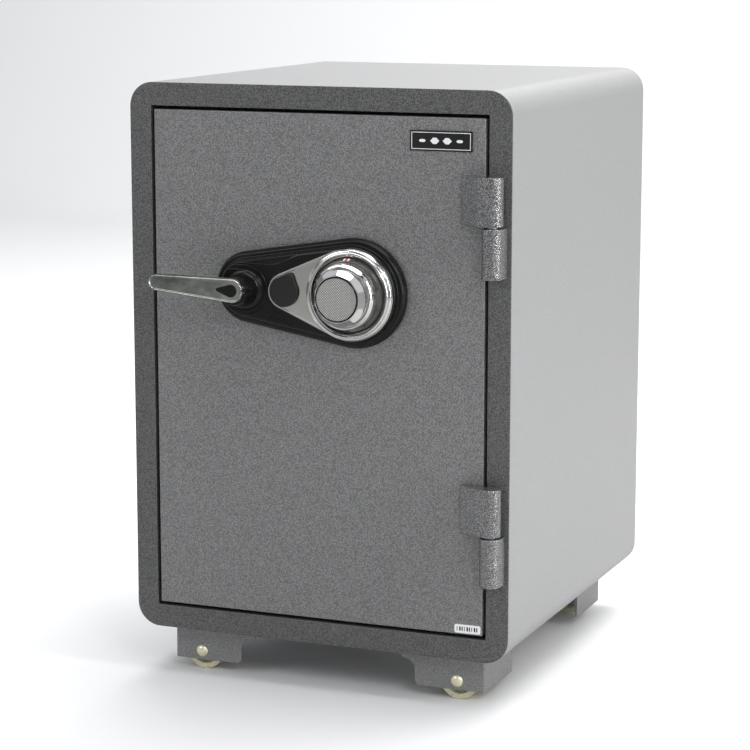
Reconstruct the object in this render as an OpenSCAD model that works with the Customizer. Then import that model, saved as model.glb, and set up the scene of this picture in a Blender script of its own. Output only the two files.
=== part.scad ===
// Small fire-resistant safe on four castor feet, with a combination dial, a lever handle and a key.
// Drawn with its front face towards -Y and its origin on the floor, under the middle of the whole safe.
// Inside the modules y = 0 is the front face of the body and z = 0 is the underside of the body.

/* [Body] */
// Width of the body
body_w = 350; // [340:1:440]
// Height of the body without its feet
body_h = 484; // [400:1:600]
// Depth of the body from front face to back
body_d = 380; // [330:1:480]
// Outside radius of the four long edges
corner_r = 21; // [12:1:26]
// Thickness of the outer sheet, the front frame and the back panel
sheet_t = 1.5; // [1:0.1:2]
// Thickness of the insulated wall round the interior
wall_t = 55; // [50:1:70]
// Thickness of the insulated back
back_t = 50; // [40:1:70]
// Thickness of the sheet that lines the interior
liner_t = 1.2; // [0.8:0.1:1.6]

/* [Doorway] */
// Width of the frame that shows round the door
rim_w = 20; // [16:1:26]
// Gap between the door and the frame
door_gap = 3; // [2:0.5:4]
// Depth of the jamb that the bolts lock behind
jamb_d = 22; // [18:1:27]
// Room round the door's plug for it to swing through the jamb
plug_room = 14; // [13:1:20]

/* [Door] */
// Thickness of the door's front slab
slab_t = 24; // [20:1:30]
// Thickness of the door's front sheet
skin_t = 2; // [1.5:0.5:3]
// Thickness of the insulation between the slab and the mechanism
plug_fill = 21; // [18:1:28]
// Least depth of the space for the mechanism
mech_room = 27.5; // [26:0.5:36]
// Thickness of the plate that carries the mechanism
plate_t = 2; // [1.5:0.5:3]

/* [Hinges] */
// Radius of the hinge barrels
barrel_r = 9; // [8:0.5:10]
// Radius of the hinge pins
pin_r = 4; // [3:0.5:5]
// Height of one hinge, both knuckles together
hinge_h = 84; // [60:1:100]
// Distance from each end of the body to the middle of a hinge
hinge_inset = 112; // [90:1:130]

/* [Bolts] */
// Radius of the locking bolts
bolt_r = 8; // [6:0.2:9.8]
// Distance between the locking bolts
bolt_pitch = 200; // [160:1:220]
// Distance that the bolts travel
bolt_throw = 20; // [16:1:22]
// Radius of the circle that the crank pin turns on
crank_r = 20; // [20:1:24]

/* [Dial and handle] */
// Height of the dial and the handle above the middle of the door
lock_rise = 69; // [50:1:69]
// Place of the dial, to the right of the middle of the door
dial_x = 37; // [32:1:39]
// Place of the handle, to the left of the middle of the door
handle_x = 60; // [58:1:64]
// Place of the key lock, to the left of the middle of the door
key_x = 22.5; // [20:0.5:24]
// Radius of the combination wheels
tumbler_r = 22; // [18:1:22.5]
// Radius of the dial spindle
spindle_r = 4; // [3:0.5:4.5]
// Radius of the handle spindle
shaft_r = 6; // [5:0.5:7]

/* [Feet] */
// Height of the underside of the body above the floor
floor_gap = 43; // [40:1:55]
// Radius of the wheels
wheel_r = 18; // [15:1:20]
// Width of a wheel's tread
wheel_w = 18; // [14:1:20]
// Radius of the wheel axles
axle_r = 4; // [3:0.5:5]
// Height of a foot bracket
foot_h = 33; // [28:1:36]
// Length of a foot bracket from front to back
foot_len = 70; // [60:1:90]
// Width of a foot bracket at its foot
foot_w = 65; // [56:1:80]
// Thickness of a foot bracket's sheet
foot_t = 2.5; // [2:0.5:3]

/* [Hidden] */
$fn = 96;

// clearances
fit = 0.05;       // round a shaft that turns in its own bore
bolt_fit = 0.1;   // round a bolt in its bush
slip = 0.3;       // between flat pieces that slide past each other
cut = 1;          // how far a cutting shape runs past the piece it cuts

// colours
paint_dark = [0.30, 0.31, 0.32];
paint_door = [0.42, 0.43, 0.44];
paint_shell = [0.68, 0.69, 0.70];
paint_hinge = [0.60, 0.61, 0.62];
steel = [0.72, 0.73, 0.74];
zinc = [0.87, 0.86, 0.68];
bright = [0.80, 0.79, 0.76];
black = [0.07, 0.07, 0.07];
fill_white = [0.85, 0.84, 0.80];

// the doorway, as distances in from the outline of the body
jamb_in = wall_t - 16;
cavity_in = jamb_in - 12.5;
plug_in = jamb_in + plug_room;
door_in = rim_w + door_gap;

// depths behind the front face
seal_t = 2;
seal_gap = 1;
ledge_y = slab_t + seal_gap + seal_t;
jamb_y = ledge_y + sheet_t + jamb_d;
plate_y = slab_t + plug_fill;
mech_y = plate_y + plate_t;
bush_t = 2.4;
bush_rim = 2;
bush_reach = bolt_r + bush_t + bush_rim;
bolt_y = max(jamb_y + 1.5 + bolt_r, mech_y + slip + bush_reach);
cover_t = 1.5;
cover_y = max(mech_y + mech_room, bolt_y + bush_reach + slip + sheet_t);
plug_y = cover_y + cover_t;
inner_y = plug_y + 4;
liner_back_y = body_d - back_t + liner_t;

// shelf
shelf_t = 1.6;
shelf_side_gap = 1;
shelf_y0 = inner_y + 12;
shelf_y1 = liner_back_y - 3.5;
rail_w = 8;
rail_h = 6;

// the whole safe about its origin
lever_reach = 46;
face_y = (lever_reach - body_d) / 2;
mid_z = body_h / 2;
lock_z = mid_z + lock_rise;

// hinges
pin_x = body_w / 2 - 13;
pin_y = -(barrel_r + 1);
leaf_in = 42;
leaf_end_t = 5;
leaf_ridge = [11.5, 5.5];
frame_leaf_in = 3;
frame_leaf_t = 3;
knuckle_gap = 1.5;
knuckle_cap = 2.5;
hinge_zs = [hinge_inset, body_h - hinge_inset];

// feet and wheels
foot_front_y = 20;
foot_rear_y = body_d - 30;
foot_in = 27;
foot_out_x = body_w / 2 - foot_in;
axle_in = 26;
axle_x = foot_out_x - axle_in;
axle_z = wheel_r - floor_gap;
wheel_y = foot_front_y + foot_t + 3.5;
hub_gap = 0.5;
cheek_y = wheel_y + wheel_w + 3.5;
cheek_w = 28;
hub_r = 8;
foot_lip_w = 13;
foot_lip_h = 10;
foot_cove_r = 9;
foot_corner_r = 5;
rivet_r = 5.5;
rivet_h = 2.5;

// the plug of the door
bolt_zs = [mid_z - bolt_pitch / 2, mid_z + bolt_pitch / 2];
plug_x = body_w / 2 - plug_in;
bush_len = 10;
flange_w = 10;
flange_y = cover_y - sheet_t;
screw_r = 2;
screw_xs = [sheet_t + flange_w / 2 - plug_x, 0, plug_x - sheet_t - flange_w / 2];
screw_zs = [plug_in + sheet_t + flange_w / 2, body_h - plug_in - sheet_t - flange_w / 2];

// bolt work
spine_t = 3;
spine_x = -plug_x + bush_len + bolt_throw + 1;
arm_t = 2.5;
arm_y = mech_y + 9;
arm_z0 = lock_z + 7.3;
arm_z1 = lock_z + 52;
arm_top = lock_z + 73;
arm_end_x = dial_x + 33;
crank_swing = 2 * asin(bolt_throw / 2 / crank_r);
crank_pin_r = 4;
crank_x = -handle_x + bolt_throw / 2;
crank_z = lock_z + crank_r * cos(crank_swing / 2);
crank_y = mech_y + 4;
crank_t = 3;
fork_fit = 0.45;
stud_r = 3;
stud_head_r = stud_r + 2.5;
stud_fit = 0.4;
stud_xs = [spine_x + 17, spine_x + 67];
stud_z = lock_z + 62;

// combination lock
case_wall = 2;
case_x0 = dial_x - 32;
case_x1 = dial_x + 36;
case_z0 = lock_z - 27;
case_z1 = lock_z + 49;
case_back_y = mech_y + 22;
lock_cover_t = 1.5;
lock_screw_r = 1.5;
lock_screws_at = [for (x = [case_x0 + 5, case_x1 - 5], z = [case_z0 + 5, case_z1 - 5]) [x, z]];
post_r = spindle_r + 2;
post_len = 13.3;
tumbler_t = 2;
tumbler_pitch = 4;
tumbler_hub_r = 9;
tumbler_gap = 0.3;
tumbler_y = mech_y + case_wall + 1.6;
gate_w = 3.6;
gate_d = 3.4;
cam_y = mech_y + 16.3;
cam_t = 3;
cam_r = 20;
lock_bolt_w = 12;
lock_bolt_t = 5.5;
lock_bolt_y = mech_y + 7.5;
lock_bolt_z = lock_z + 25;
lock_bolt_top = arm_z1 - 2;
notch_d = 10;
pivot_x = dial_x + 20;
pivot_z = lock_z + 30;
pivot_r = 2.5;
lever_y = lock_bolt_y + lock_bolt_t + slip;
lever_t = 2.5;
fence_x = dial_x + tumbler_r + 3;

// key lock
key_body_r = 9;
key_plug_r = 6;
key_shaft_r = 4;
key_body_y = mech_y + 3;
key_cam_r = 13;
key_cam_flat = 7;
cover_pivot_x = 5.5;
cover_pivot_z = 13;

// door furniture, as distances out from the face of the door
plate_out = 14.5;
trim_out = 16;
skirt_out = 8;
rim_step = 6.6;
trim_r = 39.2;
trim_end_r = 15.5;
cover_rivet_r = 1.5;
flap_t = 2.2;
flap_y = -trim_out - 0.4;
flap_r = 13;
flap_ear_r = 3.4;
bezel_out = 20;
bezel_in_r = 33;
dial_out = 28;
flange_out = 31;
flange_r = 27.5;
knob_out = 43;
knob_r = 24.5;
knob_tip_r = 20;
disc_r = 18.5;
disc_out = 44.5;
hub_big_r = 17;
hub_small_r = 11;
lever_t_out = 7;
hub_out = lever_reach - lever_t_out;
lever_big_r = 10.5;
lever_tip_r = 7.2;
lever_len = 71.3;
lever_rise = [2.3, 6.1];
inset_out = 0.6;

// ---- placing and shared shapes ----

// moves a piece from the body's own coordinates to the origin of the safe
module placed() {
  translate([0, face_y, floor_gap]) children();
}

// a flat outline in x and z, given thickness from y0 to y1
module plate(y0, y1) {
  translate([0, y1, 0]) rotate([90, 0, 0]) linear_extrude(y1 - y0) children();
}

// a round bar along y
module rod(x, z, y0, y1, r) {
  translate([x, y0, z]) rotate([-90, 0, 0]) cylinder(r = r, h = y1 - y0);
}

// a tapered round bar along y
module cone(x, z, y0, y1, r0, r1) {
  translate([x, y0, z]) rotate([-90, 0, 0]) cylinder(r1 = r0, r2 = r1, h = y1 - y0);
}

// the rectangular outline of the body, moved in by a distance
module outline(inset) {
  translate([inset - body_w / 2, inset]) square([body_w - 2 * inset, body_h - 2 * inset]);
}

// the outline of the body with its round corners, moved in by a distance
module round_outline(inset) {
  r = corner_r - inset;
  w = body_w - 2 * inset;
  h = body_h - 2 * inset;
  translate([-w / 2, inset + r]) square([w, h - 2 * r]);
  translate([r - w / 2, inset]) square([w - 2 * r, h]);
  for (x = [r - w / 2, w / 2 - r], z = [inset + r, body_h - inset - r])
    translate([x, z]) circle(r);
}

// a rectangular ring of sheet round the doorway
module ring(y0, y1, outer, inner) {
  plate(y0, y1) difference() {
    outline(outer);
    outline(inner);
  }
}

// two circles joined by their outside tangents
module strap(x0, z0, r0, x1, z1, r1) {
  dx = x1 - x0;
  dz = z1 - z0;
  line = atan2(dz, dx);
  lean = acos((r0 - r1) / norm([dx, dz]));
  translate([x0, z0]) circle(r0);
  translate([x1, z1]) circle(r1);
  polygon([
    [x0 + r0 * cos(line + lean), z0 + r0 * sin(line + lean)],
    [x0 + r0 * cos(line - lean), z0 + r0 * sin(line - lean)],
    [x1 + r1 * cos(line - lean), z1 + r1 * sin(line - lean)],
    [x1 + r1 * cos(line + lean), z1 + r1 * sin(line + lean)],
  ]);
}

// the three places where something passes through the door
module door_holes(y0, y1) {
  rod(-handle_x, lock_z, y0, y1, shaft_r + bush_t);
  rod(dial_x, lock_z, y0, y1, spindle_r + bush_t);
  rod(-key_x, lock_z, y0, y1, key_body_r);
}

// ---- body ----

module outer_shell() {
  color(paint_shell) placed() plate(sheet_t, body_d) difference() {
    round_outline(0);
    round_outline(sheet_t);
  }
}

module back_panel() {
  color(paint_shell) placed() plate(body_d - 2 * sheet_t, body_d - sheet_t) round_outline(sheet_t);
}

module front_frame() {
  color(paint_dark) placed() {
    plate(0, sheet_t) difference() {
      round_outline(0);
      outline(rim_w);
    }
    ring(0, ledge_y + sheet_t, rim_w - sheet_t, rim_w);
    ring(ledge_y, ledge_y + sheet_t, rim_w - sheet_t, jamb_in);
    ring(ledge_y, jamb_y, jamb_in - sheet_t, jamb_in);
    ring(jamb_y - sheet_t, jamb_y, cavity_in - sheet_t, jamb_in);
    ring(jamb_y - sheet_t, inner_y, cavity_in - sheet_t, cavity_in);
    ring(inner_y - sheet_t, inner_y, cavity_in - sheet_t, wall_t);
  }
}

module body_insulation() {
  color(fill_white) placed() difference() {
    plate(sheet_t, body_d - 2 * sheet_t) round_outline(sheet_t);
    plate(0, ledge_y + sheet_t) outline(rim_w - sheet_t);
    plate(ledge_y, jamb_y) outline(jamb_in - sheet_t);
    plate(jamb_y - sheet_t, inner_y) outline(cavity_in - sheet_t);
    plate(jamb_y, liner_back_y) outline(wall_t - liner_t);
  }
}

module inner_liner() {
  color(paint_shell) placed() {
    ring(inner_y, liner_back_y, wall_t - liner_t, wall_t);
    plate(liner_back_y - liner_t, liner_back_y) outline(wall_t - liner_t);
  }
}

module frame_seal() {
  seal_in = [4, 14];
  color(black) placed() ring(ledge_y - seal_t, ledge_y, rim_w + seal_in[0], rim_w + seal_in[1]);
}

// ---- shelf ----

module shelf_rails() {
  color(steel) placed() for (side = [-1, 1])
    translate([side * (body_w / 2 - wall_t - rail_w / 2) - rail_w / 2,
               shelf_y0 + 3, mid_z - shelf_t - rail_h])
      cube([rail_w, shelf_y1 - shelf_y0 - 6, rail_h]);
}

module shelf() {
  w = body_w - 2 * (wall_t + shelf_side_gap);
  lip_h = 12;
  color(paint_shell) placed() {
    translate([-w / 2, shelf_y0, mid_z - shelf_t]) cube([w, shelf_y1 - shelf_y0, shelf_t]);
    translate([-w / 2, shelf_y0, mid_z - lip_h]) cube([w, shelf_t, lip_h]);
  }
}

// ---- feet and wheels ----

// puts a piece drawn at the front right foot at any of the four feet
module at_foot(side, rear) {
  mirror([side < 0 ? 1 : 0, 0, 0])
    translate([0, rear ? foot_front_y + foot_rear_y : 0, 0])
      mirror([0, rear ? 1 : 0, 0]) children();
}

// the front of a foot bracket, with a coved lip under the body at its inner end
module foot_face() {
  x0 = foot_out_x - foot_w;
  lip_r = 3;
  difference() {
    translate([x0, -foot_h]) square([foot_w, foot_h]);
    translate([x0 - cut, -foot_h - cut]) square(foot_corner_r + cut);
  }
  translate([x0 + foot_corner_r, -foot_h + foot_corner_r]) circle(foot_corner_r);
  translate([x0 - foot_lip_w, lip_r - foot_lip_h]) square([foot_lip_w + cut, foot_lip_h - lip_r]);
  translate([x0 - foot_lip_w + lip_r, -foot_lip_h]) square([foot_lip_w, foot_lip_h]);
  translate([x0 - foot_lip_w + lip_r, lip_r - foot_lip_h]) circle(lip_r);
  difference() {
    translate([x0 - foot_cove_r, -foot_lip_h - foot_cove_r]) square(foot_cove_r);
    translate([x0 - foot_cove_r, -foot_lip_h - foot_cove_r]) circle(foot_cove_r);
  }
}

module foot(side, rear) {
  x0 = foot_out_x - foot_w;
  color(paint_dark) placed() at_foot(side, rear) difference() {
    union() {
      plate(foot_front_y, foot_front_y + foot_t) foot_face();
      translate([foot_out_x - foot_t, foot_front_y, -foot_h]) cube([foot_t, foot_len, foot_h]);
      translate([x0, foot_front_y, -foot_t]) cube([foot_w, foot_len, foot_t]);
      translate([axle_x - cheek_w / 2, cheek_y, -foot_h]) cube([cheek_w, foot_t, foot_h]);
    }
    rod(axle_x, axle_z, foot_front_y - cut, cheek_y + foot_t + cut, axle_r);
  }
}

module foot_front_left() { foot(-1, false); }
module foot_front_right() { foot(1, false); }
module foot_rear_left() { foot(-1, true); }
module foot_rear_right() { foot(1, true); }

module wheel_axles() {
  y1 = cheek_y + foot_t;
  color(zinc) placed() for (side = [-1, 1], rear = [false, true]) at_foot(side, rear) {
    rod(axle_x, axle_z, foot_front_y, y1, axle_r);
    cone(axle_x, axle_z, foot_front_y - rivet_h, foot_front_y, rivet_r - 2, rivet_r);
    cone(axle_x, axle_z, y1, y1 + rivet_h, rivet_r, rivet_r - 2);
  }
}

// a solid wheel with a hub and a dished face on both sides
module wheel(side, rear) {
  rim_t = 4;
  dish = 4.5;
  hub_y = foot_front_y + foot_t + hub_gap;
  hub_w = cheek_y - hub_gap - hub_y;
  color(zinc) placed() at_foot(side, rear) difference() {
    union() {
      difference() {
        rod(axle_x, axle_z, wheel_y, wheel_y + wheel_w, wheel_r);
        rod(axle_x, axle_z, wheel_y - cut, wheel_y + dish, wheel_r - rim_t);
        rod(axle_x, axle_z, wheel_y + wheel_w - dish, wheel_y + wheel_w + cut, wheel_r - rim_t);
      }
      rod(axle_x, axle_z, hub_y, hub_y + hub_w, hub_r);
    }
    rod(axle_x, axle_z, hub_y - cut, hub_y + hub_w + cut, axle_r + bolt_fit);
  }
}

module wheel_front_left() { wheel(-1, false); }
module wheel_front_right() { wheel(1, false); }
module wheel_rear_left() { wheel(-1, true); }
module wheel_rear_right() { wheel(1, true); }

// ---- hinges ----

// the point where a line from (x, y) touches the front of the hinge barrel
function touch(x, y, turn) =
  let (reach = norm([x - pin_x, y - pin_y]),
       a = atan2(y - pin_y, x - pin_x) + turn * acos(barrel_r / reach))
  [pin_x + barrel_r * cos(a), pin_y + barrel_r * sin(a)];

// the upper knuckle of each hinge: a barrel whose wedge-shaped leaf is welded to the door
module door_knuckles() {
  x0 = body_w / 2 - leaf_in;
  x1 = body_w / 2 - door_in - 1;
  ridge = [pin_x - leaf_ridge[0], pin_y - leaf_ridge[1]];
  color(paint_hinge) placed() for (z = hinge_zs) difference() {
    translate([0, 0, z + knuckle_gap]) linear_extrude(hinge_h / 2 - knuckle_gap) {
      translate([pin_x, pin_y]) circle(barrel_r);
      polygon([[x0, 0], [x0, -leaf_end_t], ridge, touch(ridge[0], ridge[1], 1), [pin_x, pin_y],
               [pin_x - barrel_r / 2, pin_y + barrel_r / 2], [x1, 0]]);
    }
    translate([pin_x, pin_y, z]) cylinder(r = pin_r + fit, h = hinge_h / 2 - knuckle_cap);
  }
}

// the lower knuckle of each hinge, welded to the frame
module frame_knuckles() {
  x1 = body_w / 2 - frame_leaf_in;
  x0 = body_w / 2 - rim_w + 1;
  color(paint_hinge) placed() for (z = hinge_zs) difference() {
    translate([0, 0, z - hinge_h / 2]) linear_extrude(hinge_h / 2) {
      translate([pin_x, pin_y]) circle(barrel_r);
      polygon([[x1, 0], [x0, 0], [pin_x - barrel_r / 2, pin_y + barrel_r / 2], [pin_x, pin_y],
               touch(x1, -frame_leaf_t, -1), [x1, -frame_leaf_t]]);
    }
    translate([pin_x, pin_y, z - hinge_h / 2 + knuckle_cap]) cylinder(r = pin_r, h = hinge_h);
  }
}

module hinge_pins() {
  color(steel) placed() for (z = hinge_zs)
    translate([pin_x, pin_y, z - hinge_h / 2 + knuckle_cap])
      cylinder(r = pin_r, h = hinge_h - 2 * knuckle_cap - 1);
}

// ---- door ----

module door_skin() {
  color(paint_door) placed() difference() {
    union() {
      plate(0, skin_t) outline(door_in);
      ring(0, slab_t, door_in, door_in + skin_t);
    }
    door_holes(-cut, skin_t + cut);
  }
}

module door_insulation() {
  color(fill_white) placed() difference() {
    union() {
      plate(skin_t, slab_t - sheet_t) outline(door_in + skin_t);
      plate(skin_t, plate_y) outline(plug_in + sheet_t);
    }
    door_holes(0, plate_y + cut);
  }
}

// the holes for the screws that hold the rear cover of the door
module cover_screw_holes() {
  for (x = screw_xs, z = screw_zs) rod(x, z, flange_y - cut, plug_y + cut, screw_r);
}

// the pan behind the door: a flat back to the slab and the four walls of the plug
module door_back_pan() {
  color(paint_shell) placed() difference() {
    union() {
      ring(slab_t - sheet_t, slab_t, door_in + skin_t, plug_in + sheet_t);
      ring(slab_t - sheet_t, cover_y, plug_in, plug_in + sheet_t);
      ring(flange_y, cover_y, plug_in, plug_in + sheet_t + flange_w);
    }
    cover_screw_holes();
    for (z = bolt_zs) translate([-plug_x - cut, bolt_y, z]) rotate([0, 90, 0])
      cylinder(r = bolt_r + bush_t, h = sheet_t + 2 * cut);
  }
}

module door_cover() {
  color(paint_shell) placed() difference() {
    plate(cover_y, plug_y) outline(plug_in);
    cover_screw_holes();
  }
}

module door_screws() {
  head_r = 4;
  head_h = 1.4;
  slot_w = 1;
  color(steel) placed() for (x = screw_xs, z = screw_zs) {
    rod(x, z, flange_y - 2, plug_y, screw_r);
    difference() {
      rod(x, z, plug_y, plug_y + head_h, head_r);
      translate([x - head_r - cut, plug_y + head_h / 2, z - slot_w / 2])
        cube([2 * (head_r + cut), head_h, slot_w]);
    }
  }
}

// a fixed bar that holds the hinge side of the closed door behind the jamb
module hinge_side_bar() {
  bar_w = 20;
  bar_t = 10;
  bar_h = 240;
  color(steel) placed() translate([plug_x, jamb_y + 3.5, mid_z - bar_h / 2])
    cube([bar_w, bar_t, bar_h]);
}

module nameplate() {
  plate_size = [55, 17];
  plate_edge = [11.3, 11];
  color(black) placed() plate(-1.2, 0)
    translate([body_w / 2 - door_in - plate_edge[0] - plate_size[0],
               body_h - door_in - plate_edge[1] - plate_size[1]])
      square(plate_size);
}

// ---- furniture on the front of the door ----

module escutcheon_outline(step) {
  strap(-handle_x, lock_z + 0.5, 31 - step, dial_x, lock_z, 47 - step);
}

module trim_outline() {
  strap(dial_x, lock_z, trim_r, -key_x, lock_z, trim_end_r);
}

module escutcheon() {
  color(black) placed() difference() {
    union() {
      plate(-skirt_out, 0) escutcheon_outline(0);
      plate(-plate_out, 0) escutcheon_outline(rim_step);
    }
    rod(-handle_x, lock_z, -trim_out, cut, shaft_r + 1);
    rod(dial_x, lock_z, -trim_out, cut, spindle_r + 1);
    rod(-key_x, lock_z, -trim_out, cut, key_body_r);
  }
}

module trim_plate() {
  color(bright) placed() difference() {
    plate(-trim_out, -plate_out) trim_outline();
    rod(dial_x, lock_z, -trim_out - cut, 0, spindle_r + 1);
    rod(-key_x, lock_z, -trim_out - cut, 0, key_body_r);
    rod(-key_x + cover_pivot_x, lock_z + cover_pivot_z, -trim_out - cut, 0, cover_rivet_r);
  }
}

module dial_bezel() {
  color(bright) placed() difference() {
    rod(dial_x, lock_z, -bezel_out, -trim_out, trim_r - 0.4);
    rod(dial_x, lock_z, -bezel_out - cut, 0, bezel_in_r);
  }
}

// ---- dial, turning with its spindle and cam ----

module dial_ring() {
  color(black) placed() difference() {
    cone(dial_x, lock_z, -dial_out, -trim_out - 0.5, flange_r, bezel_in_r - 0.5);
    rod(dial_x, lock_z, -dial_out - cut, 0, spindle_r);
  }
}

module dial_knob() {
  color(bright) placed() difference() {
    union() {
      rod(dial_x, lock_z, -flange_out, -dial_out, flange_r);
      cone(dial_x, lock_z, -knob_out, -flange_out, knob_tip_r, knob_r);
    }
    rod(dial_x, lock_z, -knob_out + 4, 0, spindle_r);
  }
}

module knob_disc() {
  color(steel) placed() rod(dial_x, lock_z, -disc_out, -knob_out, disc_r);
}

module dial_spindle() {
  color(steel) placed() rod(dial_x, lock_z, -knob_out + 4, cam_y + cam_t, spindle_r);
}

module drive_cam() {
  notch_w = 6;
  color(steel) placed() difference() {
    rod(dial_x, lock_z, cam_y, cam_y + cam_t, cam_r);
    rod(dial_x, lock_z, cam_y - cut, cam_y + cam_t + cut, spindle_r);
    translate([dial_x + cam_r - notch_w, cam_y - cut, lock_z - notch_w / 2])
      cube([2 * notch_w, cam_t + 2 * cut, notch_w]);
  }
}

// one combination wheel, with its gate and its fly
module tumbler(i) {
  y0 = tumbler_y + i * tumbler_pitch;
  color(zinc) placed() difference() {
    union() {
      rod(dial_x, lock_z, y0, y0 + tumbler_pitch - tumbler_gap, tumbler_hub_r);
      rod(dial_x, lock_z, y0 + 0.8, y0 + 0.8 + tumbler_t, tumbler_r);
    }
    rod(dial_x, lock_z, y0 - cut, y0 + tumbler_pitch + cut, post_r + fit);
    translate([dial_x + tumbler_r - gate_d, y0 - cut, lock_z - gate_w / 2])
      cube([gate_d + cut, tumbler_pitch + 2 * cut, gate_w]);
  }
}

module tumbler_1() { tumbler(0); }
module tumbler_2() { tumbler(1); }
module tumbler_3() { tumbler(2); }

// ---- lever handle ----

module handle_hub() {
  color(black) placed() difference() {
    cone(-handle_x, lock_z, -hub_out, -plate_out - slip, hub_small_r, hub_big_r);
    rod(-handle_x, lock_z, -hub_out - cut, 0, shaft_r);
  }
}

module lever_outline(inset) {
  strap(-handle_x + 1.5, lock_z + lever_rise[0], lever_big_r - inset,
        -handle_x + 1.5 - lever_len, lock_z + lever_rise[1], lever_tip_r - inset);
}

module handle_lever() {
  edge = 2;
  dish = 1;
  color(bright) placed() difference() {
    plate(-lever_reach, -hub_out) lever_outline(0);
    plate(-lever_reach - cut, -lever_reach + dish) lever_outline(edge);
  }
}

// the dark drop-shaped inlay near the pivot of the lever
module handle_inset() {
  color(black) placed() plate(-lever_reach + 1 - inset_out, -lever_reach + 1)
    strap(-handle_x + 1, lock_z + lever_rise[0], 5.5, -handle_x - 11, lock_z + lever_rise[0] + 0.6, 1.6);
}

module handle_spindle() {
  color(steel) placed() rod(-handle_x, lock_z, -hub_out, crank_y + crank_t, shaft_r);
}

module handle_crank() {
  color(steel) placed() difference() {
    union() {
      plate(crank_y, crank_y + crank_t)
        strap(-handle_x, lock_z, shaft_r + 5, crank_x, crank_z, crank_pin_r + 3);
      rod(crank_x, crank_z, crank_y, arm_y + arm_t + 2, crank_pin_r);
    }
    rod(-handle_x, lock_z, crank_y - cut, crank_y + crank_t + cut, shaft_r);
  }
}

module spindle_tubes() {
  color(steel) placed() {
    difference() {
      rod(-handle_x, lock_z, 0, mech_y, shaft_r + bush_t);
      rod(-handle_x, lock_z, -cut, mech_y + cut, shaft_r + fit);
    }
    difference() {
      rod(dial_x, lock_z, 0, mech_y, spindle_r + bush_t);
      rod(dial_x, lock_z, -cut, mech_y + cut, spindle_r + fit);
    }
  }
}

// ---- bolt work ----

module mechanism_plate() {
  color(steel) placed() difference() {
    plate(plate_y, mech_y) outline(plug_in + sheet_t);
    door_holes(plate_y - cut, mech_y + cut);
  }
}

module bolt_bushes() {
  color(steel) placed() for (z = bolt_zs) translate([-plug_x, bolt_y, z]) rotate([0, 90, 0])
    difference() {
      union() {
        cylinder(r = bolt_r + bush_t, h = bush_len);
        translate([0, 0, sheet_t]) cylinder(r = bush_reach, h = bush_rim);
      }
      translate([0, 0, -cut]) cylinder(r = bolt_r + bolt_fit, h = bush_len + 2 * cut);
    }
}

// the studs that the bolt bar slides on
module guide_studs() {
  color(steel) placed() for (x = stud_xs) {
    rod(x, stud_z, mech_y, arm_y - slip, stud_head_r);
    rod(x, stud_z, arm_y - slip, arm_y + arm_t + slip, stud_r);
    rod(x, stud_z, arm_y + arm_t + slip, arm_y + arm_t + slip + 2, stud_head_r);
  }
}

// the sliding plate: an upright that carries both bolts and an arm that reaches over the locks
module bolt_bar() {
  color(steel) placed() {
    translate([spine_x, bolt_y - bolt_r, bolt_zs[0] - bolt_r - 2])
      cube([spine_t, 2 * bolt_r, arm_top - bolt_zs[0] + bolt_r + 2]);
    plate(arm_y, arm_y + arm_t) difference() {
      translate([spine_x + spine_t / 2, arm_z0])
        square([arm_end_x - spine_x - spine_t / 2, arm_top - arm_z0]);
      translate([case_x0 - 5, arm_z0 - cut]) square([arm_end_x, arm_z1 - arm_z0 + cut]);
      translate([crank_x - crank_pin_r - fork_fit, arm_z0 - cut])
        square([2 * (crank_pin_r + fork_fit), lock_z + crank_r + crank_pin_r + 1 - arm_z0 + cut]);
      for (shift = [0, bolt_throw]) {
        translate([shift - key_x, lock_z]) circle(key_cam_r + 0.4);
        translate([dial_x + shift - lock_bolt_w / 2 - 0.4, arm_z1 - cut])
          square([lock_bolt_w + 0.8, notch_d + cut]);
      }
      for (x = stud_xs) {
        translate([x, stud_z]) circle(stud_r + stud_fit);
        translate([x + bolt_throw, stud_z]) circle(stud_r + stud_fit);
        translate([x, stud_z - stud_r - stud_fit]) square([bolt_throw, 2 * (stud_r + stud_fit)]);
      }
    }
  }
}

module locking_bolts() {
  tip_in = 0.5;
  nose = 1.5;
  len = spine_x + plug_x - tip_in;
  color(bright) placed() for (z = bolt_zs) translate([spine_x, bolt_y, z]) rotate([0, -90, 0]) {
    cylinder(r = bolt_r, h = len - nose);
    translate([0, 0, len - nose]) cylinder(r1 = bolt_r, r2 = bolt_r - nose, h = nose);
  }
}

// ---- combination lock ----

// an open box on the mechanism plate, with a slot in its top for the lock bolt
module lock_case() {
  boss_r = 4;
  color(zinc) placed() difference() {
    union() {
      plate(mech_y, case_back_y) difference() {
        translate([case_x0, case_z0]) square([case_x1 - case_x0, case_z1 - case_z0]);
        translate([case_x0 + case_wall, case_z0 + case_wall])
          square([case_x1 - case_x0 - 2 * case_wall, case_z1 - case_z0 - 2 * case_wall]);
      }
      plate(mech_y, mech_y + case_wall)
        translate([case_x0, case_z0]) square([case_x1 - case_x0, case_z1 - case_z0]);
      for (at = lock_screws_at) rod(at[0], at[1], mech_y, case_back_y, boss_r);
    }
    rod(dial_x, lock_z, mech_y - cut, mech_y + case_wall + cut, spindle_r + fit);
    for (at = lock_screws_at)
      rod(at[0], at[1], mech_y + case_wall, case_back_y + cut, lock_screw_r);
    translate([dial_x - lock_bolt_w / 2 - slip, lock_bolt_y - slip, case_z1 - case_wall - cut])
      cube([lock_bolt_w + 2 * slip, lock_bolt_t + 2 * slip, case_wall + 2 * cut]);
  }
}

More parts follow.
